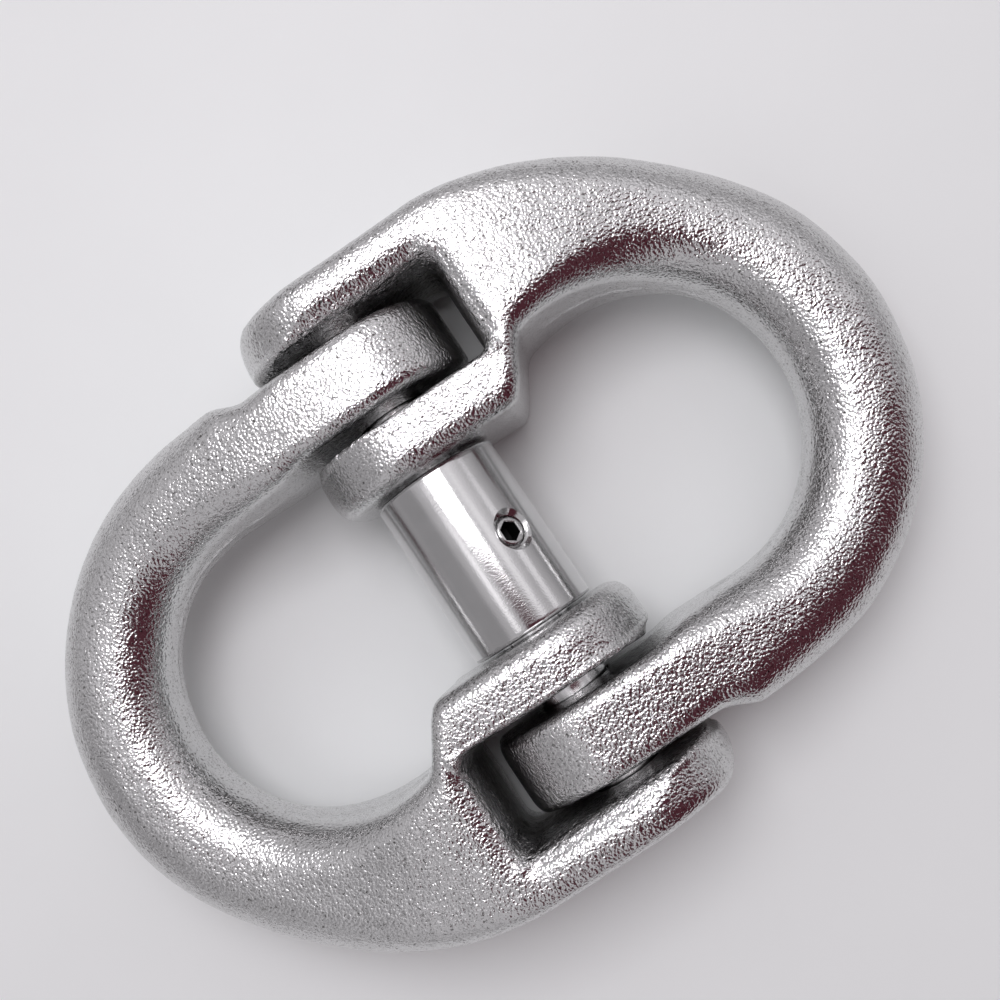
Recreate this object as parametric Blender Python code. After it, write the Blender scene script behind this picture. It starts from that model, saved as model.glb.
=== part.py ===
"""Hinged connecting link for anchor chain, forged stainless steel, 13 mm class.

Two identical half links meet like interleaved fingers and turn on one load pin.
A turned sleeve fills the space between the two inner lugs, and a socket set screw
through the sleeve holds the pin in place.

Frame: origin at the middle of the load pin, +X along the pull towards half link A's
crown, +Y along the pin towards half link A's fork, +Z up.  Units are metres.
"""
import math

import bmesh
import bpy
from mathutils import Matrix, Vector

MM = 0.001
GAP = 0.3 * MM                      # clearance between pieces that meet

# Load pin, sleeve and set screw
PIN_R = 5.0 * MM
BORE_R = PIN_R + GAP
PIN_CHAMFER = 0.8 * MM
SLEEVE_R = 9.0 * MM
SLEEVE_HALF = 12.1 * MM
SLEEVE_CHAMFER = 0.5 * MM
SCREW_R = 2.05 * MM
SCREW_HOLE_R = SCREW_R + GAP
SCREW_TIP_R = 1.4 * MM
SCREW_TIP_CONE = 0.7 * MM
SCREW_CHAMFER = 0.2 * MM
SCREW_DEPTH = 0.8 * MM              # screw's face below the sleeve's skin
SCREW_BITE = 0.7 * MM               # how far its tip stands inside the pin's skin
SCREW_ANGLE = math.radians(37.0)    # from straight up, towards +X
SINK = 0.65 * MM                    # 45 degree countersink round the screw's hole
HEX_ACROSS_FLATS = 2.5 * MM
HEX_DEPTH = 2.0 * MM

# Fork end of a half link: two lugs with a slot between them
LUG_R = 13.5 * MM                   # round end of each lug, about the pin
FORK_IN = 12.5 * MM                 # inner lug's face towards the sleeve
FORK_OUT = 41.6 * MM                # outer lug's outside face
SLOT_IN = 19.9 * MM
SLOT_OUT = 34.9 * MM
SLOT_END = 16.2 * MM                # end wall of the slot, from the pin's axis
SLOT_CORNER = 2.3 * MM
SLOT_DRAFT = 1.0 * MM               # each wall leans in by this much at mid height
SLOT_MOUTH = 1.5 * MM               # rounding of the lug tips towards the slot
LUG_CORNER_IN = 3.0 * MM            # plan rounding of the inner lug's tip
LUG_CORNER_OUT = 4.5 * MM           # plan rounding of the outer lug's tip

# Tongue end of a half link: one lug that sits in the other half's slot
TONGUE_R = 12.8 * MM
TONGUE_IN = 21.6 * MM               # cheeks at mid height
TONGUE_OUT = 33.3 * MM
TONGUE_DRAFT = 0.5 * MM             # each cheek leans in by this much at top and bottom
TONGUE_CORNER = 2.6 * MM

# Bow round the eye
EYE_X = 25.9 * MM                   # centre of the eye, from the pin's axis
EYE_R = 20.8 * MM
BOW_R = 35.9 * MM                   # outside of the bow
BOW_Y = 0.5 * MM                    # its centre stands this far towards the fork
CROWN_H = 7.9 * MM                  # half the height of the bow at the crown
SWEEP_R = 48.0 * MM                 # outer sweep from the bow to the fork
SWEEP_Y = FORK_OUT - SWEEP_R
SWEEP_X = EYE_X - math.sqrt((SWEEP_R - BOW_R) ** 2 - (BOW_Y - SWEEP_Y) ** 2)

# Rounding of the cross-section
LUG_EDGE = 2.7 * MM
CROWN_EDGE_IN = 6.4 * MM
CROWN_EDGE_OUT = 7.5 * MM
FULLEST_EDGE = 0.96                 # largest rounding, as a share of the half section

# Stretches of x, from the pin's axis, over which one shape passes into the next
TONGUE_SHOULDER_IN = (10.7 * MM, 16.8 * MM)     # cheek of the tongue to the eye
TONGUE_SHOULDER_OUT = (14.2 * MM, 20.0 * MM)    # cheek of the tongue to the outer side
FORK_SHOULDER = (13.8 * MM, 20.5 * MM)          # inner lug's face to the eye
ARM_THINS = (3.0 * MM, 48.0 * MM)               # tongue's height to the crown's
ARM_ROUNDS = (5.0 * MM, 36.0 * MM)              # tongue's edges to the crown's
FORK_THINS = (19.0 * MM, 54.0 * MM)             # lug's height to the crown's
FORK_ROUNDS = (14.0 * MM, 48.0 * MM)            # lug's edges to the crown's

# Finishes: name, colour and roughness
FORGED = ("forged_steel", (0.62, 0.62, 0.63), 0.35)
POLISHED = ("polished_steel", (0.74, 0.74, 0.74), 0.12)
TURNED = ("turned_steel", (0.70, 0.70, 0.69), 0.25)
SCREW = ("screw_steel", (0.45, 0.44, 0.43), 0.30)

# Fineness of the mesh
CORNER_STEPS = 4                    # facets in each rounded corner of a section
TIP_STEPS = 8                       # sections round the end of a lug
BOW_STEPS = 16                      # sections round half of the bow
CHEEK_STEPS = 3                     # sections along a lug's straight part
SHOULDER_STEPS = 7                  # sections across a shoulder
ROUND_STEPS = 48                    # sides of the pin and the sleeve
SCREW_STEPS = 24                    # sides of the set screw and its hole
HEX_SIDES = 6
FIRST_TIP_ANGLE = math.radians(4.0)  # first section of a round end, from its nose
SHARP_ANGLE = math.radians(35.0)    # edges sharper than this are not smoothed
REACH = 5.0 * MM                    # cutters run this far past what they cut


def clear_scene():
    """Remove everything that the file opens with."""
    for obj in list(bpy.data.objects):
        bpy.data.objects.remove(obj, do_unlink=True)


def steel(name, colour, roughness):
    """Stainless finish for one sub-part."""
    material = bpy.data.materials.new(name)
    material.use_nodes = True
    shader = material.node_tree.nodes["Principled BSDF"]
    shader.inputs["Base Color"].default_value = (*colour, 1.0)
    shader.inputs["Metallic"].default_value = 1.0
    shader.inputs["Roughness"].default_value = roughness
    return material


def add_object(name, mesh, material=None):
    """Link a mesh to the scene under one name, with its material."""
    obj = bpy.data.objects.new(name, mesh)
    bpy.context.scene.collection.objects.link(obj)
    if material:
        mesh.materials.clear()
        mesh.materials.append(material)
    return obj


def cutter(name, mesh):
    """Hidden solid for a Boolean."""
    obj = add_object(name, mesh)
    obj.hide_render = True
    obj.display_type = "WIRE"
    return obj


def cut(target, tool):
    """Take a cutter away from a target."""
    boolean = target.modifiers.new("cut_" + tool.name, "BOOLEAN")
    boolean.operation = "DIFFERENCE"
    boolean.solver = "EXACT"
    boolean.object = tool


def loft(name, rings, hollow=False):
    """Skin over rings of equal length: capped at both ends, or joined end to end."""
    bm = bmesh.new()
    loops = [[bm.verts.new(point) for point in ring] for ring in rings]
    following = loops[1:] + loops[:1] if hollow else loops[1:]
    for loop, after in zip(loops, following):
        for i in range(len(loop)):
            j = (i + 1) % len(loop)
            bm.faces.new((loop[i], loop[j], after[j], after[i]))
    if not hollow:
        bm.faces.new(loops[0])
        bm.faces.new(loops[-1])
    bmesh.ops.recalc_face_normals(bm, faces=bm.faces)
    mesh = bpy.data.meshes.new(name)
    bm.to_mesh(mesh)
    bm.free()
    mesh.shade_smooth()
    mesh.set_sharp_from_angle(angle=SHARP_ANGLE)
    return mesh


def turned(name, profile, steps=ROUND_STEPS, hollow=False):
    """Body of revolution about Z from (radius, height) points."""
    turns = [2.0 * math.pi * (i + 0.5) / steps for i in range(steps)]
    rings = [[(r * math.cos(a), r * math.sin(a), z) for a in turns] for r, z in profile]
    return loft(name, rings, hollow)


def smooth_step(value, stretch):
    """0 before a stretch, 1 after it, with an even S-curve along it."""
    start, end = stretch
    t = min(max((value - start) / (end - start), 0.0), 1.0)
    return t * t * (3.0 - 2.0 * t)


def mix(a, b, t):
    """Value a fraction t of the way from a to b."""
    return a + (b - a) * t


def stations(start, end, steps):
    """Evenly spaced values after start, up to and including end."""
    return [mix(start, end, i / steps) for i in range(1, steps + 1)]


def corner_loss(distance, radius):
    """How far a rounded plan corner pulls a side in, at a distance from the tip."""
    if distance >= radius:
        return 0.0
    return radius - math.sqrt(radius ** 2 - (radius - distance) ** 2)


def section(inner, outer, half_height, inner_edge, outer_edge, draft=0.0):
    """Rounded cross-section that stands upright between two plan points.

    Its sides are widest at mid height, and lean in by the draft above and below.
    """
    inner = Vector(inner)
    span = Vector(outer) - inner
    width = span.length
    across = span / width
    largest = FULLEST_EDGE * min(width / 2.0 - draft, half_height)
    edge_in = min(inner_edge, largest)
    edge_out = min(outer_edge, largest)
    corners = (
        (width - draft - edge_out, half_height - edge_out, edge_out),
        (draft + edge_in, half_height - edge_in, edge_in),
        (draft + edge_in, edge_in - half_height, edge_in),
        (width - draft - edge_out, edge_out - half_height, edge_out),
    )
    middles = {1: inner, 3: Vector(outer)}
    ring = []
    for quarter, (centre_w, centre_z, edge) in enumerate(corners):
        for i in range(CORNER_STEPS + 1):
            a = 0.5 * math.pi * (quarter + i / CORNER_STEPS)
            plan = inner + across * (centre_w + edge * math.cos(a))
            ring.append((plan.x, plan.y, centre_z + edge * math.sin(a)))
        if quarter in middles:
            ring.append((middles[quarter].x, middles[quarter].y, 0.0))
    return ring


def tip_angles():
    """Angles of the sections round the end of a lug, from its nose to its top."""
    return [mix(FIRST_TIP_ANGLE, 0.5 * math.pi, i / TIP_STEPS) for i in range(TIP_STEPS + 1)]


def arm_half_height(x):
    """Half the height of the tongue and its arm, which thin towards the crown."""
    return mix(TONGUE_R, CROWN_H, smooth_step(x, ARM_THINS))


def fork_half_height(x):
    """Half the height of the fork's side, flat at first and then thinning."""
    return mix(LUG_R, CROWN_H, smooth_step(x, FORK_THINS))


def arm_section(inner, outer):
    """Section of the tongue, its arm, or the bow on that side of the crown."""
    x = 0.5 * (inner[0] + outer[0])
    blend = smooth_step(x, ARM_ROUNDS)
    return section(inner, outer, arm_half_height(x),
                   mix(LUG_EDGE, CROWN_EDGE_IN, blend), mix(LUG_EDGE, CROWN_EDGE_OUT, blend),
                   mix(TONGUE_DRAFT, 0.0, blend))


def fork_section(inner, outer):
    """Section of the fork's block, or of the bow on that side of the crown."""
    x = 0.5 * (inner[0] + outer[0])
    blend = smooth_step(x, FORK_ROUNDS)
    return section(inner, outer, fork_half_height(x),
                   mix(LUG_EDGE, CROWN_EDGE_IN, blend), mix(LUG_EDGE, CROWN_EDGE_OUT, blend))


def tongue_rings():
    """Tongue's round end, its flat cheeks and the shoulders where the arm starts."""
    rings = []
    for a in tip_angles():
        x = -TONGUE_R * math.cos(a)
        loss = corner_loss(TONGUE_R + x, TONGUE_CORNER)
        rings.append(section((x, -TONGUE_IN - loss), (x, loss - TONGUE_OUT),
                             TONGUE_R * math.sin(a), LUG_EDGE, LUG_EDGE, TONGUE_DRAFT))
    first, last = TONGUE_SHOULDER_IN[0], TONGUE_SHOULDER_OUT[1]
    for x in (stations(0.0, first, CHEEK_STEPS) + stations(first, last, SHOULDER_STEPS)
              + stations(last, EYE_X, 2)[:-1]):
        y_in = mix(TONGUE_IN, EYE_R, smooth_step(x, TONGUE_SHOULDER_IN))
        y_out = mix(TONGUE_OUT, BOW_R - BOW_Y, smooth_step(x, TONGUE_SHOULDER_OUT))
        rings.append(arm_section((x, -y_in), (x, -y_out)))
    return rings


def eye_edge(angle):
    """Plan point on the inside of the bow."""
    return (EYE_X + EYE_R * math.cos(angle), EYE_R * math.sin(angle))


def bow_edge(angle):
    """Plan point on the outside of the bow."""
    return (EYE_X + BOW_R * math.cos(angle), BOW_Y + BOW_R * math.sin(angle))


def sweep_edge(angle):
    """Plan point on the outer sweep that runs from the bow to the fork."""
    return (SWEEP_X + SWEEP_R * math.cos(angle), SWEEP_Y + SWEEP_R * math.sin(angle))


def bow_rings():
    """Bow, from the arm round the crown to the fork's block."""
    quarter = 0.5 * math.pi
    rings = []
    for i in range(BOW_STEPS + 1):
        a = mix(-quarter, 0.0, i / BOW_STEPS)
        rings.append(arm_section(eye_edge(a), bow_edge(a)))
    leave = math.atan2(BOW_Y - SWEEP_Y, EYE_X - SWEEP_X)
    steps = BOW_STEPS // 2
    for i in range(1, steps + 1):
        a = leave * i / steps
        rings.append(fork_section(eye_edge(a), bow_edge(a)))
    over_eye = math.acos((EYE_X - SWEEP_X) / SWEEP_R)
    for i in range(1, steps + 1):
        t = i / steps
        rings.append(fork_section(eye_edge(mix(leave, quarter, t)),
                                  sweep_edge(mix(leave, over_eye, t))))
    return rings


def fork_rings():
    """Fork's block and both lugs as one width, before the slot is cut."""
    rings = []
    first, last = FORK_SHOULDER
    for x in (stations(EYE_X, last, CHEEK_STEPS) + stations(last, first, SHOULDER_STEPS)
              + stations(first, 0.0, CHEEK_STEPS + 1)[:-1]):
        eye_y = math.sqrt(max(EYE_R ** 2 - (x - EYE_X) ** 2, 0.0))
        y_in = mix(FORK_IN, eye_y, smooth_step(x, FORK_SHOULDER))
        y_out = SWEEP_Y + math.sqrt(SWEEP_R ** 2 - max(x - SWEEP_X, 0.0) ** 2)
        rings.append(fork_section((x, y_in), (x, y_out)))
    for a in reversed(tip_angles()):
        x = -LUG_R * math.cos(a)
        y_in = FORK_IN + corner_loss(LUG_R + x, LUG_CORNER_IN)
        y_out = FORK_OUT - corner_loss(LUG_R + x, LUG_CORNER_OUT)
        rings.append(section((x, y_in), (x, y_out), LUG_R * math.sin(a), LUG_EDGE, LUG_EDGE))
    return rings


def slot_outline(spread):
    """Plan of the slot, rounded at its end and flared at its mouth, widened by spread."""
    half = 0.5 * (SLOT_OUT - SLOT_IN) + spread
    middle = 0.5 * (SLOT_OUT + SLOT_IN)
    end = SLOT_END + spread
    side = [(-LUG_R - REACH, half + SLOT_MOUTH)]
    for i in range(CORNER_STEPS + 1):
        a = 0.5 * math.pi * i / CORNER_STEPS
        side.append((SLOT_MOUTH * math.sin(a) - LUG_R, half + SLOT_MOUTH * math.cos(a)))
    for i in range(CORNER_STEPS + 1):
        a = 0.5 * math.pi * i / CORNER_STEPS
        side.append((end - SLOT_CORNER * (1.0 - math.sin(a)),
                     half - SLOT_CORNER * (1.0 - math.cos(a))))
    return [(x, middle - w) for x, w in side] + [(x, middle + w) for x, w in reversed(side)]


def slot_cutter(name):
    """The slot as a solid whose walls lean in towards mid height."""
    top = LUG_R + REACH
    wider = SLOT_DRAFT * REACH / LUG_R
    levels = ((-top, wider), (0.0, -SLOT_DRAFT), (top, wider))
    return cutter(name, loft(name, [[(x, y, z) for x, y in slot_outline(spread)]
                                    for z, spread in levels]))


def along_pin(mesh):
    """Lay a body turned about +Z along the pin's axis, +Y."""
    mesh.transform(Matrix.Rotation(-0.5 * math.pi, 4, "X"))
    return mesh


def along_screw(mesh):
    """Lean a body turned about +Z over to the set screw's axis."""
    mesh.transform(Matrix.Rotation(SCREW_ANGLE, 4, "Y"))
    return mesh


def half_link(name, mesh, turn, material):
    """One forged half: its skin, turned about +Z, less its slot and its pin bore."""
    link = add_object(name, mesh, material)
    slot = slot_cutter(name + "_slot")
    length = FORK_OUT + REACH
    bore = cutter(name + "_bore", along_pin(turned(name + "_bore",
                                                   [(BORE_R, -length), (BORE_R, length)])))
    for obj in (link, slot, bore):
        obj.rotation_euler.z = turn
    cut(link, slot)
    cut(link, bore)
    return link


def load_pin(material):
    """Plain pin through all six lug walls, with a dimple for the set screw."""
    end = FORK_OUT - GAP
    profile = [(PIN_R - PIN_CHAMFER, -end), (PIN_R, PIN_CHAMFER - end),
               (PIN_R, end - PIN_CHAMFER), (PIN_R - PIN_CHAMFER, end)]
    pin = add_object("load_pin", along_pin(turned("load_pin", profile)), material)
    floor = PIN_R - SCREW_BITE - GAP
    dimple = turned("pin_dimple", [(SCREW_HOLE_R, floor), (SCREW_HOLE_R, PIN_R + REACH)],
                    SCREW_STEPS)
    cut(pin, cutter("pin_dimple", along_screw(dimple)))
    return pin


def locking_sleeve(material):
    """Turned spacer between the inner lugs, drilled and countersunk for the screw."""
    rim = SLEEVE_R - SLEEVE_CHAMFER
    wall = SLEEVE_HALF - SLEEVE_CHAMFER
    profile = [(BORE_R, -SLEEVE_HALF), (rim, -SLEEVE_HALF), (SLEEVE_R, -wall),
               (SLEEVE_R, wall), (rim, SLEEVE_HALF), (BORE_R, SLEEVE_HALF)]
    sleeve = add_object("locking_sleeve",
                        along_pin(turned("locking_sleeve", profile, hollow=True)), material)
    hole = turned("screw_hole", [(SCREW_HOLE_R, 0.0), (SCREW_HOLE_R, SLEEVE_R - SINK),
                                 (SCREW_HOLE_R + SINK + REACH, SLEEVE_R + REACH)], SCREW_STEPS)
    cut(sleeve, cutter("screw_hole", along_screw(hole)))
    return sleeve


def set_screw(material):
    """Cone-point socket set screw that fixes the sleeve to the pin."""
    tip = PIN_R - SCREW_BITE
    face = SLEEVE_R - SCREW_DEPTH
    profile = [(SCREW_TIP_R, tip), (SCREW_R, tip + SCREW_TIP_CONE),
               (SCREW_R, face - SCREW_CHAMFER), (SCREW_R - SCREW_CHAMFER, face)]
    screw = add_object("set_screw", along_screw(turned("set_screw", profile, SCREW_STEPS)),
                       material)
    corner_r = 0.5 * HEX_ACROSS_FLATS / math.cos(math.pi / HEX_SIDES)
    socket = turned("hex_socket", [(corner_r, face - HEX_DEPTH), (corner_r, face + REACH)],
                    HEX_SIDES)
    cut(screw, cutter("hex_socket", along_screw(socket)))
    return screw


def main():
    clear_scene()
    forged = steel(*FORGED)
    half = loft("half_link", tongue_rings() + bow_rings() + fork_rings())
    half_link("half_link_a", half, 0.0, forged)
    half_link("half_link_b", half, math.pi, forged)
    load_pin(steel(*POLISHED))
    locking_sleeve(steel(*TURNED))
    set_screw(steel(*SCREW))


main()
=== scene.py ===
"""Looks for a hinged connecting link of forged stainless steel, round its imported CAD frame.

The two half links are rebuilt finely from the CAD's dimensions, remeshed and given a
forged skin.  The pin, the sleeve and its set screw are turned again with real threads
and broken edges.  Shapes are worked out in millimetres and turned into metres last.
"""
import math

import bmesh
import bpy
import numpy as np
from mathutils import Matrix, Vector, noise


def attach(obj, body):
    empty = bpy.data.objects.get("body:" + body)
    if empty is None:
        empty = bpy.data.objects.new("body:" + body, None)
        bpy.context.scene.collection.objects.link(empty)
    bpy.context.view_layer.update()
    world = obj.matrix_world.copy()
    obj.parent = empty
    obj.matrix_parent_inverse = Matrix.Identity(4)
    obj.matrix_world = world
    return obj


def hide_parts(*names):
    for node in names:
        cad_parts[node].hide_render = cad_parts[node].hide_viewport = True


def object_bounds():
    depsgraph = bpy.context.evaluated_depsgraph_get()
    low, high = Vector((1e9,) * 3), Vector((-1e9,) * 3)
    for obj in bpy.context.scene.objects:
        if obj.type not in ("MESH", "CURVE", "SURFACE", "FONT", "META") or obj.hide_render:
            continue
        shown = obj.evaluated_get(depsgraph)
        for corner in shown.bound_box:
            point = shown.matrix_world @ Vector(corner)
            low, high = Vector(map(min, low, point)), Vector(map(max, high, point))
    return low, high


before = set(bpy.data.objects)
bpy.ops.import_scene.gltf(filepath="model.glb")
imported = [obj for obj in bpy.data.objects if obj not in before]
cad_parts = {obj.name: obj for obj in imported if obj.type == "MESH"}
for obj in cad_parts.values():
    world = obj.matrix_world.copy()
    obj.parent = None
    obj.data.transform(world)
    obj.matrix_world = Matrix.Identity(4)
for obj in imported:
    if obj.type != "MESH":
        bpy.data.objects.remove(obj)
CAD_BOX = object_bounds()
MM = 0.001

# ---------------------------------------------------------------- dimensions, mm
PIN_R = 5.0
PIN_END = 41.3
PIN_EDGE = 0.8                      # rounding of the pin's ends
PIN_CAP_R = 0.8                     # polygon in the middle of each flat end
BORE_R = 5.3
BORE_BREAK = 0.7                    # broken edge round the bore's mouth
SLEEVE_R = 9.0
SLEEVE_HALF = 12.1
SLEEVE_BREAK = 0.5                  # rounding of its outside edges
SLEEVE_LIP = 0.3                    # chamfer of its inside edges

SCREW_ANGLE = math.radians(37.0)    # from straight up, towards +X
SCREW_TIP = 4.3                     # height of the screw's tip over the pin's axis
SCREW_TIP_R = 0.9
SCREW_CONE_R = 1.4                  # where the tip's cone begins
SCREW_FACE = 8.2
SCREW_LEAD_R = 1.78                 # where the thread's lead-in begins, at the face
SCREW_FACE_R = 1.66
SCREW_FACE_RISE = 0.03
THREAD_PITCH = 0.8
THREAD_MAJOR = 2.5
THREAD_MINOR = 2.02
THREAD_PLAY = 0.05                  # how much wider the hole's thread is, in radius
THREAD_FLANK = (0.1, 0.9)           # part of a half pitch over which the ridge rises
HOLE_START = 2.0                    # height where the hole's tool starts, in the bore
HOLE_OVERLAP = 0.25                 # how far its thread runs into the countersink
SINK_R = 2.85                       # countersink's rim
SINK_SUNK = 0.1                     # how much deeper the countersink is cut
SINK_STEP = (0.1, 0.05)             # small end of its tool, in radius and in height
HEX_ACROSS_FLATS = 2.5
HEX_DEPTH = 2.6
HEX_DRILL_R = 0.25                  # flat of the drill point under the socket
HEX_DRILL_DEPTH = 0.4
HEX_MOUTH = 0.12                    # depth of the chamfer at the socket's mouth
HEX_REACH = 0.35                    # how far that chamfer's tool widens

LUG_R = 13.5                        # round side profile of the fork
FORK_IN = 12.5                      # faces of the fork, from the plan's long axis
FORK_OUT = 41.6
SLOT_IN = 19.9
SLOT_OUT = 34.9
SLOT_END = 16.2
SLOT_CORNER = 2.3
SLOT_MOUTH = 1.5                    # rounding where the slot opens at the nose
RIM_IN = 1.2                        # rounding of the slot's rim on the inner lug,
RIM_OUT = 3.0                       # on the outer lug
RIM_END = 2.5                       # and over the slot's end wall
RIM_STEPS = 18
SLOT_DRAFT = 1.0                    # each wall leans in by this much at mid height
LUG_CORNER_IN = 3.0
LUG_CORNER_OUT = 4.5
TONGUE_R = 12.8                     # round side profile of the tongue
TONGUE_IN = 21.6
TONGUE_OUT = 33.3
TONGUE_DRAFT = 0.5                  # each cheek leans in by this much at top and bottom
TONGUE_CORNER = 1.7

EYE_X = 25.9                        # centre of the eye's half round
EYE_R = 20.8
BOW_R = 35.9                        # outside of the bow, round (EYE_X, BOW_Y)
BOW_Y = 0.5
CROWN_H = 7.9                       # half height at the crown
SWEEP_R = 48.0                      # larger arc that leads from the bow to the fork
SWEEP_Y = FORK_OUT - SWEEP_R
SWEEP_X = EYE_X - math.sqrt((SWEEP_R - BOW_R) ** 2 - (BOW_Y - SWEEP_Y) ** 2)

LUG_EDGE = 2.6
TONGUE_EDGE = 1.8
CROWN_EDGE_IN = 6.4
CROWN_EDGE_OUT = 7.5
FULLEST_EDGE = 0.97                 # largest edge, as a share of the half section

# Stretches of x over which one section blends into the next.
TONGUE_SHOULDER_IN = (10.7, 16.8)
TONGUE_SHOULDER_OUT = (14.2, 20.0)
FORK_SHOULDER = (13.8, 20.5)
ARM_THINS = (3.0, 48.0)
ARM_ROUNDS = (5.0, 36.0)
FORK_THINS = (19.0, 54.0)
FORK_ROUNDS = (14.0, 48.0)

# ---------------------------------------------------------------- the forging's skin, mm
WAVE_FREQ, WAVE_RISE = 0.11, 0.15
LUMP_FREQ, LUMP_RISE = 0.36, 0.035
GRAIN_FREQ, GRAIN_RISE = 1.25, 0.028
FLASH_BEGINS = (20.0, 24.0)         # stretch of x where the trimmed parting line begins
FLASH_HALF = 0.5                    # half its width
FLASH_RISE = 0.22
FLASH_FREQ = 0.3
FLASH_MEAN, FLASH_SPREAD = 0.55, 0.9
CALM_R = BORE_R + 1.0               # no unevenness this near the pin's axis,
CALM_FADE = 2.0                     # and all of it this much further out
SEED_SHIFT = Vector((37.0, 11.0, 5.0))

# ---------------------------------------------------------------- fineness
CORNER_STEPS = 12
TIP_STEPS = 24
TIP_START = math.radians(4.0)       # a nose's first section, measured from its tip
BOW_STEPS = 72
CHEEK_STEPS = 8
SHOULDER_STEPS = 24
ROUND_STEPS = 160
SCREW_STEPS = 72
SCREW_ROW = 0.08                    # mm between the rings of the screw's thread
HOLE_ROW = 0.10                     # and between those of its hole
SLEEVE_ROWS = 60
SLEEVE_EDGE_STEPS = 5
PIN_ROWS = 80
PIN_EDGE_STEPS = 6
VOXEL = 0.41                        # mm, size of the forging's mesh cells
SOFTEN = 7                          # smoothing passes over the remeshed forging
SOFTEN_FACTOR = 0.5
REACH = 5.0                         # how far a cutting tool stands out of the steel


def smooth_step(value, stretch):
    """0 before a stretch, 1 after it, with an even S-curve along it."""
    start, end = stretch
    t = min(max((value - start) / (end - start), 0.0), 1.0)
    return t * t * (3.0 - 2.0 * t)


def mix(a, b, t):
    return a + (b - a) * t


def stations(start, end, steps):
    """Evenly spaced values after start, up to and including end."""
    return [mix(start, end, i / steps) for i in range(1, steps + 1)]


def quarter_turn(steps):
    """Angles from 0 to a right angle."""
    return [0.5 * math.pi * i / steps for i in range(steps + 1)]


def corner_loss(distance, radius):
    """How far a rounded plan corner pulls a side in, at a distance from the tip."""
    if distance >= radius:
        return 0.0
    return radius - math.sqrt(radius ** 2 - (radius - distance) ** 2)


def loft(name, rings, hollow=False):
    """Skin over rings of equal length: capped at both ends, or joined up if hollow."""
    bm = bmesh.new()
    loops = [[bm.verts.new(point) for point in ring] for ring in rings]
    nexts = loops[1:] + loops[:1] if hollow else loops[1:]
    for loop, after in zip(loops, nexts):
        for i in range(len(loop)):
            j = (i + 1) % len(loop)
            bm.faces.new((loop[i], loop[j], after[j], after[i]))
    if not hollow:
        bm.faces.new(loops[0])
        bm.faces.new(loops[-1])
    bmesh.ops.recalc_face_normals(bm, faces=bm.faces)
    mesh = bpy.data.meshes.new(name)
    bm.to_mesh(mesh)
    bm.free()
    return mesh


def turned(name, profile, steps=ROUND_STEPS, hollow=False, radius_at=None):
    """Body of revolution about Z from (radius, height) points.

    A hollow body's points go right round its wall.  radius_at(radius, angle, height)
    may change the radius, as a thread does.
    """
    turns = [2.0 * math.pi * (i + 0.5) / steps for i in range(steps)]
    rings = []
    for r, z in profile:
        ring = []
        for a in turns:
            ra = radius_at(r, a, z) if radius_at else r
            ring.append((ra * math.cos(a), ra * math.sin(a), z))
        rings.append(ring)
    return loft(name, rings, hollow)


def scratch(name, mesh):
    """Object that only serves while a piece is being made."""
    obj = bpy.data.objects.new(name, mesh)
    bpy.context.scene.collection.objects.link(obj)
    return obj


def worked(name, mesh, cutters=(), voxel=0.0, soften=0):
    """Mesh less its cutters, then remeshed and smoothed if asked."""
    obj = scratch(name, mesh)
    tools = [scratch("cut_" + name, cutter) for cutter in cutters]
    for tool in tools:
        boolean = obj.modifiers.new("cut", "BOOLEAN")
        boolean.operation = "DIFFERENCE"
        boolean.solver = "EXACT"
        boolean.object = tool
    if voxel:
        remesh = obj.modifiers.new("remesh", "REMESH")
        remesh.mode = "VOXEL"
        remesh.voxel_size = voxel
        remesh.adaptivity = 0.0
    if soften:
        smooth = obj.modifiers.new("soften", "SMOOTH")
        smooth.factor = SOFTEN_FACTOR
        smooth.iterations = soften
    bpy.context.view_layer.update()
    graph = bpy.context.evaluated_depsgraph_get()
    result = bpy.data.meshes.new_from_object(obj.evaluated_get(graph))
    for spare in [obj] + tools:
        bpy.data.objects.remove(spare, do_unlink=True)
    return result


def rotated(mesh, angle, axis):
    mesh.transform(Matrix.Rotation(angle, 4, axis))
    return mesh


def along_pin(mesh):
    return rotated(mesh, -0.5 * math.pi, "X")


def along_screw(mesh):
    return rotated(mesh, SCREW_ANGLE, "Y")


# ---------------------------------------------------------------- half link
def section(inner, outer, half_height, inner_edge, outer_edge, draft=0.0):
    """Rounded cross-section that stands upright between two plan points.

    Its sides are widest at mid height, and lean in by the draft above and below.
    """
    inner = Vector(inner)
    span = Vector(outer) - inner
    width = span.length
    across = span / width
    largest = FULLEST_EDGE * min(width / 2.0 - draft, half_height)
    edge_in = min(inner_edge, largest)
    edge_out = min(outer_edge, largest)
    corners = (
        (width - draft - edge_out, half_height - edge_out, edge_out),
        (draft + edge_in, half_height - edge_in, edge_in),
        (draft + edge_in, edge_in - half_height, edge_in),
        (width - draft - edge_out, edge_out - half_height, edge_out),
    )
    middles = {1: inner, 3: Vector(outer)}
    ring = []
    for quarter, (centre_w, centre_z, edge) in enumerate(corners):
        for i in range(CORNER_STEPS + 1):
            a = 0.5 * math.pi * (quarter + i / CORNER_STEPS)
            plan = inner + across * (centre_w + edge * math.cos(a))
            ring.append((plan.x, plan.y, centre_z + edge * math.sin(a)))
        if quarter in middles:
            ring.append((middles[quarter].x, middles[quarter].y, 0.0))
    return ring


def tip_angles():
    """Angles of the sections from a nose's tip back to its full height."""
    return [mix(TIP_START, 0.5 * math.pi, i / TIP_STEPS) for i in range(TIP_STEPS + 1)]


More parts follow.
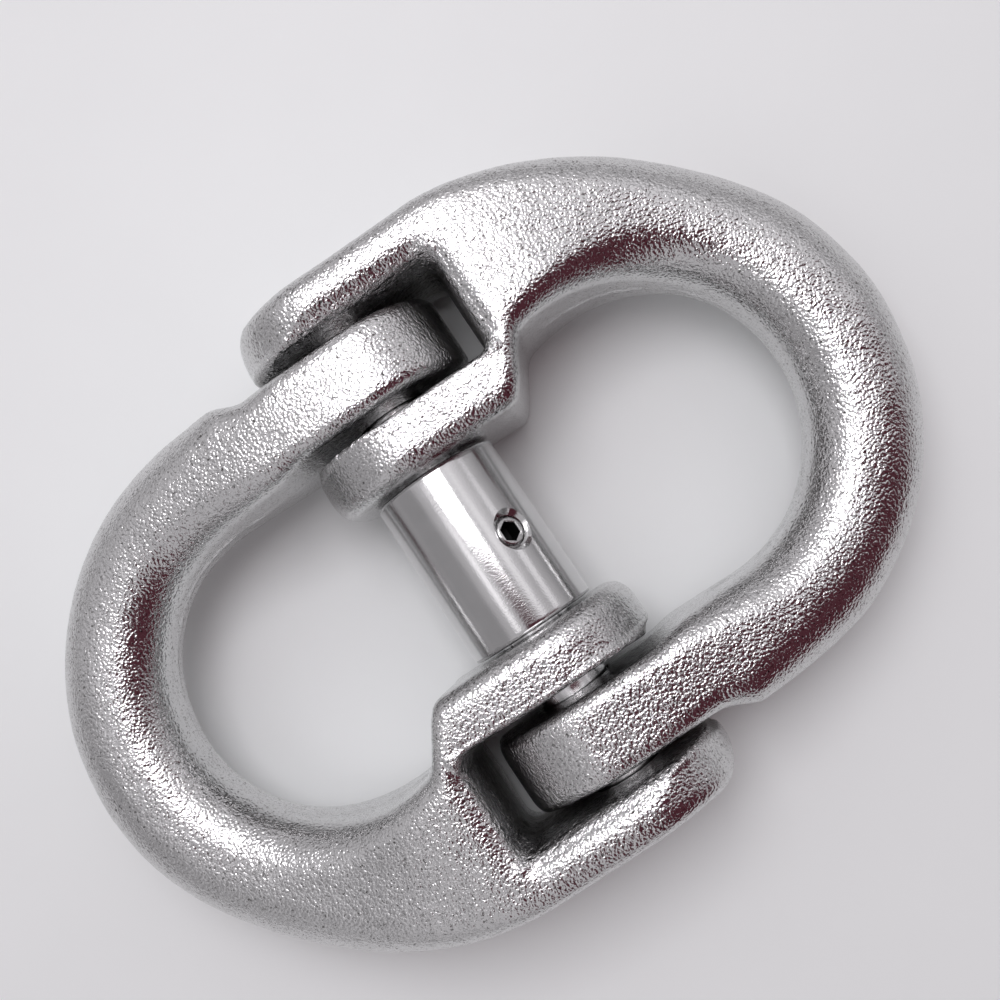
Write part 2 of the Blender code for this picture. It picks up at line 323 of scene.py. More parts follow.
def arm_section(inner, outer):
    """Section of the tongue, its arm, or the bow on that side of the crown."""
    x = 0.5 * (inner[0] + outer[0])
    blend = smooth_step(x, ARM_ROUNDS)
    half_height = mix(TONGUE_R, CROWN_H, smooth_step(x, ARM_THINS))
    return section(inner, outer, half_height,
                   mix(TONGUE_EDGE, CROWN_EDGE_IN, blend),
                   mix(TONGUE_EDGE, CROWN_EDGE_OUT, blend), mix(TONGUE_DRAFT, 0.0, blend))


def fork_section(inner, outer):
    """Section of the fork's block, or of the bow on that side of the crown."""
    x = 0.5 * (inner[0] + outer[0])
    blend = smooth_step(x, FORK_ROUNDS)
    half_height = mix(LUG_R, CROWN_H, smooth_step(x, FORK_THINS))
    return section(inner, outer, half_height,
                   mix(LUG_EDGE, CROWN_EDGE_IN, blend), mix(LUG_EDGE, CROWN_EDGE_OUT, blend))


def eye_edge(angle):
    return (EYE_X + EYE_R * math.cos(angle), EYE_R * math.sin(angle))


def bow_edge(angle):
    return (EYE_X + BOW_R * math.cos(angle), BOW_Y + BOW_R * math.sin(angle))


def sweep_edge(angle):
    return (SWEEP_X + SWEEP_R * math.cos(angle), SWEEP_Y + SWEEP_R * math.sin(angle))


def half_link_rings():
    """Sections of a half link, from the tongue's nose round the bow to the fork's nose."""
    rings = []
    for a in tip_angles():
        x = -TONGUE_R * math.cos(a)
        loss = corner_loss(TONGUE_R + x, TONGUE_CORNER)
        rings.append(section((x, -TONGUE_IN - loss), (x, loss - TONGUE_OUT),
                             TONGUE_R * math.sin(a), TONGUE_EDGE, TONGUE_EDGE, TONGUE_DRAFT))
    first, last = TONGUE_SHOULDER_IN[0], TONGUE_SHOULDER_OUT[1]
    for x in (stations(0.0, first, CHEEK_STEPS) + stations(first, last, SHOULDER_STEPS)
              + stations(last, EYE_X, CHEEK_STEPS)[:-1]):
        y_in = mix(TONGUE_IN, EYE_R, smooth_step(x, TONGUE_SHOULDER_IN))
        y_out = mix(TONGUE_OUT, BOW_R - BOW_Y, smooth_step(x, TONGUE_SHOULDER_OUT))
        rings.append(arm_section((x, -y_in), (x, -y_out)))
    quarter = 0.5 * math.pi
    for i in range(BOW_STEPS + 1):
        a = mix(-quarter, 0.0, i / BOW_STEPS)
        rings.append(arm_section(eye_edge(a), bow_edge(a)))
    leave = math.atan2(BOW_Y - SWEEP_Y, EYE_X - SWEEP_X)
    steps = BOW_STEPS // 2
    for a in stations(0.0, leave, steps):
        rings.append(fork_section(eye_edge(a), bow_edge(a)))
    over_eye = math.acos((EYE_X - SWEEP_X) / SWEEP_R)
    for t in stations(0.0, 1.0, steps):
        rings.append(fork_section(eye_edge(mix(leave, quarter, t)),
                                  sweep_edge(mix(leave, over_eye, t))))
    first, last = FORK_SHOULDER
    for x in (stations(EYE_X, last, CHEEK_STEPS) + stations(last, first, SHOULDER_STEPS)
              + stations(first, 0.0, CHEEK_STEPS)[:-1]):
        eye_y = math.sqrt(max(EYE_R ** 2 - (x - EYE_X) ** 2, 0.0))
        y_in = mix(FORK_IN, eye_y, smooth_step(x, FORK_SHOULDER))
        y_out = SWEEP_Y + math.sqrt(SWEEP_R ** 2 - max(x - SWEEP_X, 0.0) ** 2)
        rings.append(fork_section((x, y_in), (x, y_out)))
    for a in reversed(tip_angles()):
        x = -LUG_R * math.cos(a)
        y_in = FORK_IN + corner_loss(LUG_R + x, LUG_CORNER_IN)
        y_out = FORK_OUT - corner_loss(LUG_R + x, LUG_CORNER_OUT)
        rings.append(section((x, y_in), (x, y_out), LUG_R * math.sin(a), LUG_EDGE, LUG_EDGE))
    return rings


def rim_loss(z, radius):
    """How far a rounded rim opens the slot at a height, below the top of the lugs."""
    return corner_loss(LUG_R - z, radius) if z < LUG_R else radius + z - LUG_R


def slot_outline(z):
    """Plan of the slot at a height: its walls lean in, and its rims are rounded."""
    z = abs(z)
    draft = SLOT_DRAFT * min(z / LUG_R - 1.0, 0.0)
    y_in = SLOT_IN - draft - rim_loss(z, RIM_IN)
    y_out = SLOT_OUT + draft + rim_loss(z, RIM_OUT)
    end = SLOT_END + draft + rim_loss(z, RIM_END)
    corner = SLOT_CORNER + draft + rim_loss(z, RIM_END)
    side = [(-LUG_R - REACH, SLOT_MOUTH)]
    for a in quarter_turn(CORNER_STEPS):
        side.append((SLOT_MOUTH * math.sin(a) - LUG_R, SLOT_MOUTH * math.cos(a)))
    for a in quarter_turn(CORNER_STEPS):
        side.append((end - corner * (1.0 - math.sin(a)), -corner * (1.0 - math.cos(a))))
    return [(x, y_in - w) for x, w in side] + [(x, y_out + w) for x, w in reversed(side)]


def slot_tool():
    """The slot as a solid through the whole height of the fork."""
    rim = max(RIM_IN, RIM_OUT, RIM_END)
    above = [LUG_R - rim * (1.0 - math.sin(a)) for a in quarter_turn(RIM_STEPS)]
    above.append(LUG_R + REACH)
    heights = [-z for z in reversed(above)] + [0.0] + above
    return loft("slot", [[(x, y, z) for x, y in slot_outline(z)] for z in heights])


def bore_tool():
    """The pin's bore, with its edges broken at both outside faces."""
    mouth = BORE_R + BORE_BREAK + REACH
    profile = [(mouth, -FORK_OUT - REACH), (BORE_R, BORE_BREAK - FORK_OUT),
               (BORE_R, FORK_OUT - BORE_BREAK), (mouth, FORK_OUT + REACH)]
    return along_pin(turned("bore", profile))


def forged_copy(name, smooth, turn, seed):
    """The smooth half link, uneven as a forging is, in metres and turned into place."""
    mesh = smooth.copy()
    mesh.name = name
    count = len(mesh.vertices)
    points = np.empty(count * 3)
    mesh.vertices.foreach_get("co", points)
    points = points.reshape(-1, 3)
    normals = np.empty(count * 3)
    mesh.vertex_normals.foreach_get("vector", normals)
    normals = normals.reshape(-1, 3)
    shift = SEED_SHIFT * seed
    rise = np.empty(count)
    for i, point in enumerate(points):
        p = Vector(point) + shift
        wave = noise.noise(p * WAVE_FREQ)
        lump = noise.noise(p * LUMP_FREQ)
        grain = noise.noise(p * GRAIN_FREQ)
        rise[i] = WAVE_RISE * wave + LUMP_RISE * lump + GRAIN_RISE * grain
        if point[0] > FLASH_BEGINS[0] and abs(point[2]) < 3.0 * FLASH_HALF:
            height = math.exp(-(point[2] / FLASH_HALF) ** 2)
            ragged = FLASH_MEAN + FLASH_SPREAD * noise.noise(p * FLASH_FREQ)
            rise[i] += (FLASH_RISE * height * max(ragged, 0.0)
                        * smooth_step(point[0], FLASH_BEGINS))
    # The bore stays true, and so do the faces right round it.
    radial = np.hypot(points[:, 0], points[:, 2])
    calm = np.clip((radial - CALM_R) / CALM_FADE, 0.0, 1.0)
    points += normals * (rise * calm)[:, None]
    cos, sin = math.cos(turn), math.sin(turn)
    x, y = points[:, 0].copy(), points[:, 1].copy()
    points[:, 0] = cos * x - sin * y
    points[:, 1] = sin * x + cos * y
    mesh.vertices.foreach_set("co", (points * MM).ravel())
    mesh.update()
    mesh.shade_smooth()
    return mesh


# ---------------------------------------------------------------- turned pieces
def thread(minor, major, top):
    """Radius of a threaded rod: a rounded V that climbs one pitch in each turn."""
    def radius(r, angle, height):
        phase = ((height - top) / THREAD_PITCH - angle / (2.0 * math.pi)) % 1.0
        v = 1.0 - abs(2.0 * phase - 1.0)
        ridge = minor + (major - minor) * smooth_step(v, THREAD_FLANK)
        return min(r, ridge)
    return radius


def screw_mesh():
    """M5 socket set screw with a real thread, broken edges and a hexagon socket."""
    count = round((SCREW_FACE - SCREW_TIP) / SCREW_ROW)
    profile = [(SCREW_TIP_R, SCREW_TIP)]
    for z in stations(SCREW_TIP, SCREW_FACE, count)[:-1]:
        cone = SCREW_CONE_R + (z - SCREW_TIP)
        lead = SCREW_LEAD_R + (SCREW_FACE - z)
        profile.append((min(cone, lead, THREAD_MAJOR), z))
    profile += [(SCREW_LEAD_R, SCREW_FACE), (SCREW_FACE_R, SCREW_FACE + SCREW_FACE_RISE)]
    body = turned("screw", profile, SCREW_STEPS,
                  radius_at=thread(THREAD_MINOR, THREAD_MAJOR, SCREW_FACE))
    corner_r = 0.5 * HEX_ACROSS_FLATS / math.cos(math.pi / 6.0)
    mouth = SCREW_FACE - HEX_MOUTH
    socket = turned("socket", [(HEX_DRILL_R, SCREW_FACE - HEX_DEPTH - HEX_DRILL_DEPTH),
                               (corner_r, SCREW_FACE - HEX_DEPTH), (corner_r, mouth),
                               (corner_r + HEX_REACH, mouth + HEX_REACH)], 6)
    return along_screw(worked("screw", body, [socket]))


def screw_hole_tool():
    """Threaded hole and countersink for the set screw."""
    sink_foot = SLEEVE_R - (SINK_R - THREAD_MINOR)
    top = sink_foot + HOLE_OVERLAP
    count = round((top - HOLE_START) / HOLE_ROW)
    minor, major = THREAD_MINOR + THREAD_PLAY, THREAD_MAJOR + THREAD_PLAY
    profile = [(major, z) for z in [HOLE_START] + stations(HOLE_START, top, count)]
    hole = turned("hole", profile, SCREW_STEPS, radius_at=thread(minor, major, SCREW_FACE))
    low = sink_foot - SINK_SUNK
    sink = turned("sink", [(THREAD_MINOR - SINK_STEP[0], low - SINK_STEP[1]),
                           (THREAD_MINOR, low), (THREAD_MINOR + REACH, low + REACH)],
                  SCREW_STEPS)
    return along_screw(hole), along_screw(sink)


def sleeve_mesh():
    """Tube round the pin's middle, with the screw's threaded hole in its wall."""
    edge = [(SLEEVE_R - SLEEVE_BREAK * (1.0 - math.sin(a)),
             SLEEVE_BREAK * (1.0 - math.cos(a)) - SLEEVE_HALF)
            for a in quarter_turn(SLEEVE_EDGE_STEPS)]
    straight = SLEEVE_HALF - SLEEVE_BREAK
    rows = stations(-straight, straight, SLEEVE_ROWS)[:-1]
    profile = [(BORE_R + SLEEVE_LIP, -SLEEVE_HALF)] + edge + [(SLEEVE_R, z) for z in rows]
    profile += [(r, -z) for r, z in reversed(edge)]
    profile += [(BORE_R + SLEEVE_LIP, SLEEVE_HALF), (BORE_R, SLEEVE_HALF - SLEEVE_LIP),
                (BORE_R, SLEEVE_LIP - SLEEVE_HALF)]
    tube = along_pin(turned("sleeve", profile, hollow=True))
    return worked("sleeve", tube, screw_hole_tool())


def pin_mesh():
    """Plain pin with rounded ends."""
    straight = PIN_END - PIN_EDGE
    edge = [(PIN_R - PIN_EDGE + PIN_EDGE * math.sin(a), straight + PIN_EDGE * math.cos(a))
            for a in quarter_turn(PIN_EDGE_STEPS)]
    rows = stations(-straight, straight, PIN_ROWS)[:-1]
    profile = [(PIN_CAP_R, -PIN_END)] + [(r, -z) for r, z in edge]
    profile += [(PIN_R, z) for z in rows] + list(reversed(edge)) + [(PIN_CAP_R, PIN_END)]
    return along_pin(turned("pin", profile))


# ---------------------------------------------------------------- looks
# Colours are linear, FREQ is features to the millimetre, and RISE is a bump's height in mm.
def grey(value, warm=0.0):
    return (value * (1.0 + warm), value, value * (1.0 - warm), 1.0)


def daylight(value):
    """Grey with the slight rose cast of the room's light."""
    return tuple(value * part for part in ROSE_CAST) + (1.0,)


ROSE_CAST = (1.015, 0.985, 1.02)
MID_NOISE = (0.3, 0.7)              # the levels between which nearly all noise lies

COARSE_FREQ, COARSE_RISE = 0.9, 0.036
DOME_FREQ, DOME_RISE = 2.3, 0.042
DOME_BLUR, DOME_SIZE = 0.15, 0.5
CRINKLE_FREQ, CRINKLE_RISE = 2.7, 0.088
PATCH_FREQ = 0.09
SPECK_FREQ = 2.3
VALLEY_LEVELS = (0.28, 0.41)
VALLEY_SHADE_STRENGTH = 0.65                 # how dark the painted shade in the valleys gets, of 1
SPECK_LEVELS = (0.26, 0.33)
FORGED_TONES = (grey(0.60), grey(0.70))
# Tone of the painted shade in the crinkle's valleys, and of the random specks.
VALLEY_SHADE_AND_SPECK_TONE = grey(0.16, 0.03)
FORGED_ROUGH = (0.07, 0.15)

# Painted shade deep inside the slot, dark and patchy, with added roughness, and lumps on the
# slot's walls.
WALL_LUMP_FREQ, WALL_LUMP_RISE = 1.0, 0.6
SLOT_SHADE_FADE = (1.2, 0.2)             # mm beyond the slot's walls, from none to all of it
SLOT_SHADE_BELOW = (4.0, 9.5)            # mm below the lugs' top, from none to all of it
SLOT_SHADE_PATCHES = (0.3, 0.6)          # levels of the patches over which its cover thins
SLOT_SHADE_COVER = (0.97, 0.8)
SLOT_SHADE_TONE = grey(0.10, 0.06)
SLOT_SHADE_ROUGH = 0.25                  # added to the skin's own roughness

MARK_FREQ, MARK_RISE = 4.0, 0.02
SCREW_TONES = (grey(0.50), grey(0.72))
SCREW_ROUGH = (0.16, 0.30)
# Painted shade inside the hex socket, near black, with added roughness.
SOCKET_SHADE_FADE = (1.62, 1.50)          # mm from the screw's axis, from none to all of it
SOCKET_SHADE_BELOW = (0.10, 0.35)         # mm below its face, from none to all of it
SOCKET_SHADE_TONE = grey(0.02)
SOCKET_SHADE_ROUGH = 0.4                  # added to the screw's own roughness

TABLE_HALF = 3.0                    # m
TABLE_TONES = ((0.865, 0.890, 0.885, 1.0), (0.895, 0.920, 0.915, 1.0))
TABLE_ROUGH = 0.55
TABLE_FREQ = 0.05
TABLE_GRAIN_FREQ, TABLE_GRAIN_RISE = 1.0, 0.01
FLOOR_GAP = 0.02 * MM               # the floor lies this far under the link

# The room: its brightness low and high, then patches of it as a direction, the degrees
# within which the patch is even and beyond which it is gone, and its brightness.
ROOM_LOW, ROOM_HIGH = 0.34, 0.58
ROOM_RISE = (0.0, 0.45)             # height of a direction over which low turns to high
ROOM_PATCHES = (
    ((-0.12, 0.38, 0.92), 13.0, 34.0, 0.70),
    ((0.42, 0.37, 0.83), 11.0, 31.0, 0.92),
    ((-0.86, 0.0, 0.50), 14.0, 26.0, 0.36),
    ((0.49, 0.03, 0.87), 2.0, 8.0, 1.15),
    ((0.84, 0.03, 0.54), 3.0, 8.0, 1.05),
    ((-0.34, 0.03, 0.94), 2.0, 7.0, 1.50),
    ((0.08, -0.03, 0.997), 9.0, 16.0, 0.56),
)
BACKDROP = 0.52
DARK_ROSE = (0.088, 0.028, 0.038, 1.0)
DARK_WEST = (-0.15, -0.06)          # edges of the dark quarter, from light to dark,
DARK_EAST = (0.95, 0.74)            # in the x of a direction
DARK_NORTH = (0.05, -0.04)          # and in its y
DARK_DRAWN = (0.15, 0.55)           # stretch of x over which its y edge moves to -Y,
DARK_DRAW = 0.12                    # by this much

SOFTBOX_PLACE = (0.015, 0.105, 0.325)
SOFTBOX_SIZE = 0.17                 # m
SOFTBOX_WATTS = 0.44

CAMERA_PLACE = (0.01345, -0.0077, 0.1516)
CAMERA_TURNS = (("Z", -33.95), ("X", 2.19), ("Y", 5.03))
CAMERA_LENS = 40.82
CAMERA_SENSOR = 36.0
CAMERA_CLIP = (0.005, 10.0)


# ---------------------------------------------------------------- node helpers
class Nodes:
    """Short hand for building one node tree."""

    def __init__(self, tree):
        self.tree = tree
        tree.nodes.clear()

    def add(self, kind, **settings):
        node = self.tree.nodes.new(kind)
        for key, value in settings.items():
            setattr(node, key, value)
        return node

    def link(self, source, target):
        self.tree.links.new(source, target)

    def feed(self, socket, value):
        if isinstance(value, bpy.types.NodeSocket):
            self.link(value, socket)
        else:
            socket.default_value = value

    def math(self, operation, a, b=0.0):
        node = self.add("ShaderNodeMath", operation=operation)
        self.feed(node.inputs[0], a)
        self.feed(node.inputs[1], b)
        return node.outputs[0]

    def span(self, value, low, high, to_low, to_high, smooth=False):
        """Value carried from the stretch low..high to to_low..to_high, and held beyond it."""
        node = self.add("ShaderNodeMapRange",
                        interpolation_type="SMOOTHSTEP" if smooth else "LINEAR")
        for index, item in enumerate((value, low, high, to_low, to_high)):
            self.feed(node.inputs[index], item)
        return node.outputs["Result"]

    def mask(self, value, low, high):
        """0 at low and 1 at high, with an S-curve between; high may be the smaller one."""
        return self.span(value, low, high, 0.0, 1.0, True)

    def blend(self, factor, a, b):
        """Colour a where the factor is 0, and colour b where it is 1."""
        node = self.add("ShaderNodeMix", data_type="RGBA")
        self.feed(node.inputs["Factor"], factor)
        self.feed(node.inputs[6], a)
        self.feed(node.inputs[7], b)
        return node.outputs[2]

    def mapped(self, vector, **inputs):
        """Vector turned or stretched by a Mapping node."""
        node = self.add("ShaderNodeMapping")
        self.link(vector, node.inputs["Vector"])
        for key, value in inputs.items():
            node.inputs[key].default_value = value
        return node.outputs[0]

    def noise(self, vector, per_mm, detail=2.0, rough=0.5, distort=0.0):
        """Noise with that many periods to the millimetre."""
        node = self.add("ShaderNodeTexNoise")
        self.link(vector, node.inputs["Vector"])
        node.inputs["Scale"].default_value = per_mm / MM
        node.inputs["Detail"].default_value = detail
        node.inputs["Roughness"].default_value = rough
        node.inputs["Distortion"].default_value = distort
        return node.outputs["Fac"]

    def split(self, vector):
        node = self.add("ShaderNodeSeparateXYZ")
        self.link(vector, node.inputs[0])
        return node.outputs

    def cells(self, vector, per_mm, smooth):
        """Distance from the middle of the nearest of scattered cells."""
        node = self.add("ShaderNodeTexVoronoi", feature="SMOOTH_F1")
        self.link(vector, node.inputs["Vector"])
        node.inputs["Scale"].default_value = per_mm / MM
        node.inputs["Smoothness"].default_value = smooth
        return node.outputs["Distance"]

    def bump(self, height, size_mm, under=None, strength=1.0):
        """Bump of a 0 to 1 height field that is size_mm tall, on top of another."""
        node = self.add("ShaderNodeBump")
        node.inputs["Strength"].default_value = strength
        node.inputs["Distance"].default_value = size_mm * MM
        self.link(height, node.inputs["Height"])
        if under is not None:
            self.link(under, node.inputs["Normal"])
        return node.outputs["Normal"]


# ---------------------------------------------------------------- materials
def start_material(name):
    """Bare metal, and what its parts are built with: nodes, shader, object coordinates."""
    material = bpy.data.materials.new(name)
    material.use_nodes = True
    nodes = Nodes(material.node_tree)
    shader = nodes.add("ShaderNodeBsdfPrincipled")
    output = nodes.add("ShaderNodeOutputMaterial")
    nodes.link(shader.outputs[0], output.inputs["Surface"])
    shader.inputs["Metallic"].default_value = 1.0
    place = nodes.add("ShaderNodeTexCoord").outputs["Object"]
    return material, nodes, shader, place


def forged_material(name, turn):
    """Blasted and electropolished forging: bright crinkled skin with painted shade in its
    valleys, and painted shade deep inside its slot.

    turn brings object coordinates back to those of half link A.
    """
    material, nodes, shader, laid = start_material(name)
    place = nodes.mapped(laid, Rotation=(0.0, 0.0, turn))
    coarse = nodes.noise(place, COARSE_FREQ)
    cells = nodes.cells(place, DOME_FREQ, DOME_BLUR)
    domes = nodes.span(nodes.math("MULTIPLY", cells, cells), 0.0, DOME_SIZE, 1.0, 0.0)
    crinkle = nodes.noise(place, CRINKLE_FREQ, detail=1.2, rough=0.60, distort=0.3)
    patches = nodes.noise(place, PATCH_FREQ, detail=3.0)
    bumps = nodes.bump(crinkle, CRINKLE_RISE,
                       nodes.bump(domes, DOME_RISE, nodes.bump(coarse, COARSE_RISE)))
    # Painted shade in the crinkle's valleys, and a few dark specks at random.
    valley_shade = nodes.span(crinkle, *VALLEY_LEVELS, 1.0, 0.0, True)
    speck = nodes.span(nodes.noise(place, SPECK_FREQ, detail=1.0), *SPECK_LEVELS,
                       1.0, 0.0, True)
    valley_shade_and_speck = nodes.math("MAXIMUM", nodes.math("MULTIPLY", valley_shade, VALLEY_SHADE_STRENGTH), speck)
    skin = nodes.blend(valley_shade_and_speck, nodes.blend(patches, *FORGED_TONES), VALLEY_SHADE_AND_SPECK_TONE)
    # Painted shade, dark and patchy, deep inside the slot, and lumps on its walls: wall is 1
    # in and at the slot, deep is 1 well below its rims.
    x, y, z = nodes.split(place)
    middle, half = 0.5 * (SLOT_IN + SLOT_OUT), 0.5 * (SLOT_OUT - SLOT_IN)
    across = nodes.math("ABSOLUTE", nodes.math("SUBTRACT", y, middle * MM))
    outer, inner = SLOT_SHADE_FADE
    wall = nodes.math("MULTIPLY",
                      nodes.mask(across, (half + outer) * MM, (half + inner) * MM),
                      nodes.mask(x, (SLOT_END + outer) * MM, (SLOT_END + inner) * MM))
    high, low = SLOT_SHADE_BELOW
    deep = nodes.mask(nodes.math("ABSOLUTE", z), (LUG_R - high) * MM, (LUG_R - low) * MM)
    # This mask paints shade deep in the slot: dark colour and added roughness.
    slot_shade = nodes.math("MULTIPLY", nodes.math("MULTIPLY", wall, deep),
                       nodes.span(patches, *SLOT_SHADE_PATCHES, *SLOT_SHADE_COVER))
    lumps = nodes.math("MULTIPLY", wall,
                       nodes.noise(place, WALL_LUMP_FREQ, detail=3.0, rough=0.65))
    nodes.link(nodes.bump(lumps, WALL_LUMP_RISE, bumps), shader.inputs["Normal"])
    nodes.link(nodes.blend(slot_shade, skin, SLOT_SHADE_TONE), shader.inputs["Base Color"])
    rough = nodes.span(coarse, *MID_NOISE, *FORGED_ROUGH)
    nodes.link(nodes.math("ADD", rough, nodes.math("MULTIPLY", slot_shade, SLOT_SHADE_ROUGH)),
               shader.inputs["Roughness"])
    return material


def lathe_material(name, stretch, line_freq, line_rise, dust, cloud_freq, tones, rough):
    """Skin with fine lines round the pin's axis, and dusted by blasting if dust says so."""
    material, nodes, shader, place = start_material(name)
    along = nodes.mapped(place, Scale=(stretch, 1.0, stretch))
    skin = nodes.bump(nodes.noise(along, line_freq, detail=3.0, rough=0.7), line_rise)
    if dust:
        dust_freq, dust_rise = dust
        skin = nodes.bump(nodes.noise(place, dust_freq), dust_rise, skin)
    nodes.link(skin, shader.inputs["Normal"])
    cloud = nodes.noise(place, cloud_freq, detail=4.0)
    nodes.link(nodes.blend(cloud, *tones), shader.inputs["Base Color"])
    nodes.link(nodes.span(cloud, *MID_NOISE, *rough), shader.inputs["Roughness"])
    return material


def sleeve_material():
    """Fine-turned and lightly blasted tube."""
    return lathe_material("turned_skin", stretch=0.05, line_freq=7.0, line_rise=0.0035,
                          dust=(4.5, 0.010), cloud_freq=0.22,
                          tones=(grey(0.56), grey(0.66)), rough=(0.08, 0.13))


def pin_material():
    """Ground and polished pin."""
    return lathe_material("ground_skin", stretch=0.04, line_freq=9.0, line_rise=0.004,
                          dust=None, cloud_freq=0.3,
                          tones=(grey(0.62), grey(0.72)), rough=(0.08, 0.16))


def screw_material():
    """Machined set screw, with painted shade, near black, inside its socket."""
    material, nodes, shader, place = start_material("screw_skin")
    marks = nodes.noise(place, MARK_FREQ, detail=3.0, rough=0.6)
    nodes.link(nodes.bump(marks, MARK_RISE), shader.inputs["Normal"])
    # The screw set upright: painted shade, near black, near its axis, below its face.
    x, y, height = nodes.split(nodes.mapped(place, Rotation=(0.0, -SCREW_ANGLE, 0.0)))
    radius = nodes.math("SQRT", nodes.math("ADD", nodes.math("MULTIPLY", x, x),
                                           nodes.math("MULTIPLY", y, y)))
    outer, inner = SOCKET_SHADE_FADE
    high, low = SOCKET_SHADE_BELOW
    # This mask paints shade inside the hex socket.
    socket = nodes.math("MULTIPLY",
                        nodes.span(radius, outer * MM, inner * MM, 0.0, 1.0),
                        nodes.span(height, (SCREW_FACE - high) * MM, (SCREW_FACE - low) * MM,
                                   0.0, 1.0))
    bright = nodes.blend(marks, *SCREW_TONES)
    nodes.link(nodes.blend(socket, bright, SOCKET_SHADE_TONE), shader.inputs["Base Color"])
    rough = nodes.span(marks, *MID_NOISE, *SCREW_ROUGH)
    nodes.link(nodes.math("ADD", rough, nodes.math("MULTIPLY", socket, SOCKET_SHADE_ROUGH)),
               shader.inputs["Roughness"])
    return material


def floor_material():
    """Nearly white table top, very slightly green."""
    material, nodes, shader, place = start_material("table")
    shader.inputs["Metallic"].default_value = 0.0
    shader.inputs["Roughness"].default_value = TABLE_ROUGH
    shade = nodes.noise(place, TABLE_FREQ, detail=4.0)
    nodes.link(nodes.blend(shade, *TABLE_TONES), shader.inputs["Base Color"])
    grain = nodes.noise(place, TABLE_GRAIN_FREQ)
    nodes.link(nodes.bump(grain, TABLE_GRAIN_RISE, strength=0.4), shader.inputs["Normal"])
    return material


# ---------------------------------------------------------------- pieces
def piece(name, mesh, material, body, node):
    """Object that rides with its body and takes the place of its CAD node."""
    obj = bpy.data.objects.new(name, mesh)
    bpy.context.scene.collection.objects.link(obj)
    mesh.materials.clear()
    mesh.materials.append(material)
    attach(obj, body)
    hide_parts(node)
    return obj


smooth_half = worked("half", loft("half", half_link_rings()), [slot_tool(), bore_tool()],
                     VOXEL, SOFTEN)
for letter, turn, seed in (("a", 0.0, 1), ("b", math.pi, 2)):
    name = "forged_half_" + letter
    piece(name, forged_copy(name, smooth_half, turn, seed),
          forged_material("forged_skin_" + letter, turn),
          "link_" + letter, "half_link_" + letter)
bpy.data.meshes.remove(smooth_half)

for name, mesh, material, node, slot, sharp in (
        ("ground_pin", pin_mesh(), pin_material(), "load_pin", "polished_steel", 40.0),
        ("turned_sleeve", sleeve_mesh(), sleeve_material(), "locking_sleeve",
         "turned_steel", 25.0),
        ("socket_set_screw", screw_mesh(), screw_material(), "set_screw",
         "screw_steel", 40.0)):
    mesh.transform(Matrix.Scale(MM, 4))
    mesh.shade_smooth()
    mesh.set_sharp_from_angle(angle=math.radians(sharp))
    piece(name, mesh, material, "pin_set", node)


# ---------------------------------------------------------------- floor, light, camera
def add_floor(level):
    mesh = bpy.data.meshes.new("table")
    far = TABLE_HALF
    corners = [(-far, -far, level), (far, -far, level), (far, far, level), (-far, far, level)]
    mesh.from_pydata(corners, [], [(0, 1, 2, 3)])
    table = bpy.data.objects.new("table", mesh)
    bpy.context.scene.collection.objects.link(table)
    mesh.materials.append(floor_material())


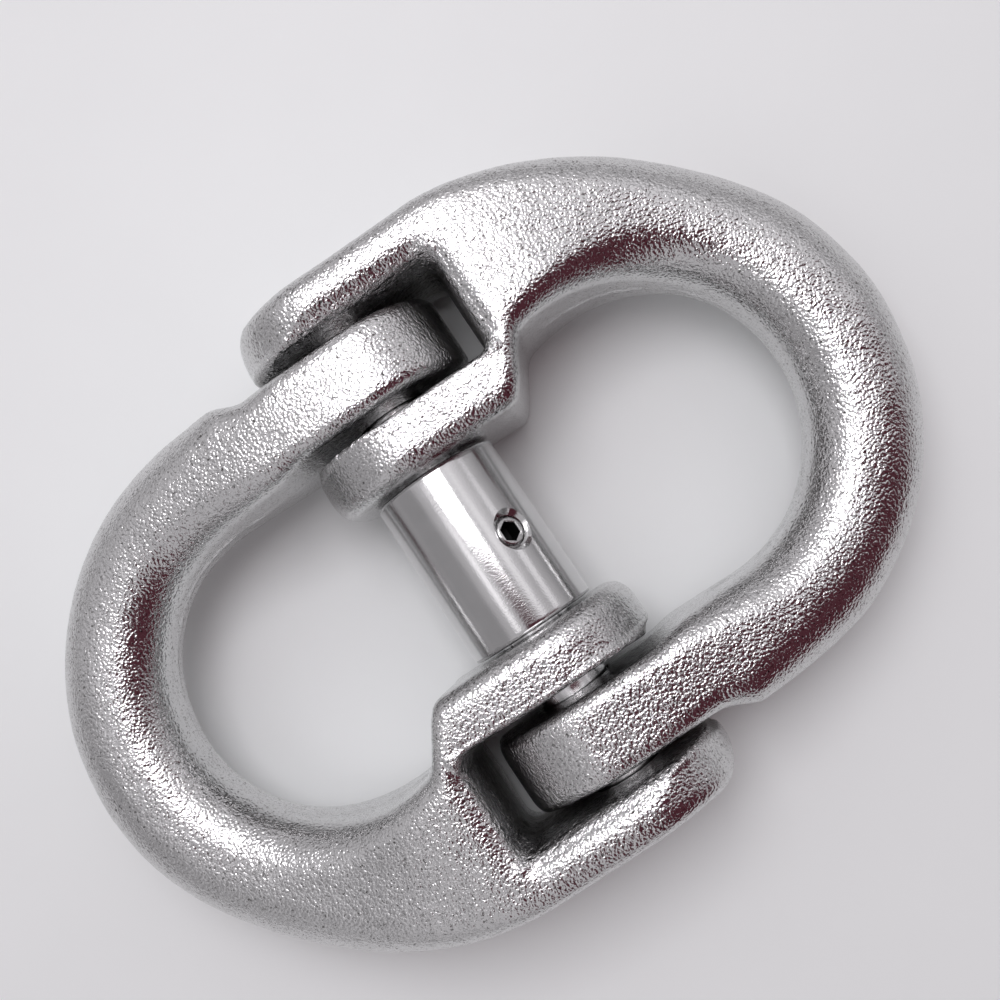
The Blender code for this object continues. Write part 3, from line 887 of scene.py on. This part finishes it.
def add_world():
    """Pale room with brighter and dimmer patches, and a dark rose quarter over +X and -Y."""
    world = bpy.data.worlds.new("room")
    bpy.context.scene.world = world
    world.use_nodes = True
    nodes = Nodes(world.node_tree)
    output = nodes.add("ShaderNodeOutputWorld")
    background = nodes.add("ShaderNodeBackground")
    nodes.link(background.outputs[0], output.inputs["Surface"])
    where = nodes.add("ShaderNodeTexCoord").outputs["Generated"]

    def dot(direction):
        node = nodes.add("ShaderNodeVectorMath", operation="DOT_PRODUCT")
        nodes.link(where, node.inputs[0])
        node.inputs[1].default_value = Vector(direction).normalized()
        return node.outputs["Value"]

    def nearness(direction, inner, outer):
        """1 within inner degrees of a direction, fading to 0 at outer degrees."""
        return nodes.mask(dot(direction), math.cos(math.radians(outer)),
                          math.cos(math.radians(inner)))

    colour = nodes.blend(nodes.mask(dot((0.0, 0.0, 1.0)), *ROOM_RISE),
                         daylight(ROOM_LOW), daylight(ROOM_HIGH))
    for direction, inner, outer, brightness in ROOM_PATCHES:
        colour = nodes.blend(nearness(direction, inner, outer), colour,
                             daylight(brightness))
    east, north, _ = nodes.split(where)
    dark = nodes.math("MULTIPLY", nodes.mask(east, *DARK_WEST), nodes.mask(east, *DARK_EAST))
    drawn = nodes.math("ADD", north, nodes.span(east, *DARK_DRAWN, 0.0, DARK_DRAW))
    dark = nodes.math("MULTIPLY", dark, nodes.mask(drawn, *DARK_NORTH))
    colour = nodes.blend(dark, colour, DARK_ROSE)
    # The backdrop itself stays plain and pale: the room only lights the link.
    seen = nodes.add("ShaderNodeLightPath").outputs["Is Camera Ray"]
    nodes.link(nodes.blend(seen, colour, daylight(BACKDROP)), background.inputs["Color"])
    background.inputs["Strength"].default_value = 1.0


def add_softbox():
    """Square soft light over +Y, aimed at the link."""
    data = bpy.data.lights.new("softbox", "AREA")
    data.shape = "SQUARE"
    data.size = SOFTBOX_SIZE
    data.energy = SOFTBOX_WATTS
    data.color = daylight(1.0)[:3]
    light = bpy.data.objects.new("softbox", data)
    bpy.context.scene.collection.objects.link(light)
    place = Vector(SOFTBOX_PLACE)
    light.location = place
    light.rotation_euler = place.to_track_quat("Z", "Y").to_euler()
    light.visible_camera = False


def add_camera():
    """The photo's view: from close above, rolled, and leaning a few degrees."""
    data = bpy.data.cameras.new("camera")
    data.lens = CAMERA_LENS
    data.sensor_width = CAMERA_SENSOR
    data.clip_start, data.clip_end = CAMERA_CLIP
    camera = bpy.data.objects.new("camera", data)
    bpy.context.scene.collection.objects.link(camera)
    view = Matrix.Translation(CAMERA_PLACE)
    for axis, degrees in CAMERA_TURNS:
        view = view @ Matrix.Rotation(math.radians(degrees), 4, axis)
    camera.matrix_world = view
    bpy.context.scene.camera = camera


add_floor(CAD_BOX[0][2] - FLOOR_GAP)
add_world()
add_softbox()
add_camera()
bpy.context.scene.view_settings.view_transform = "Standard"
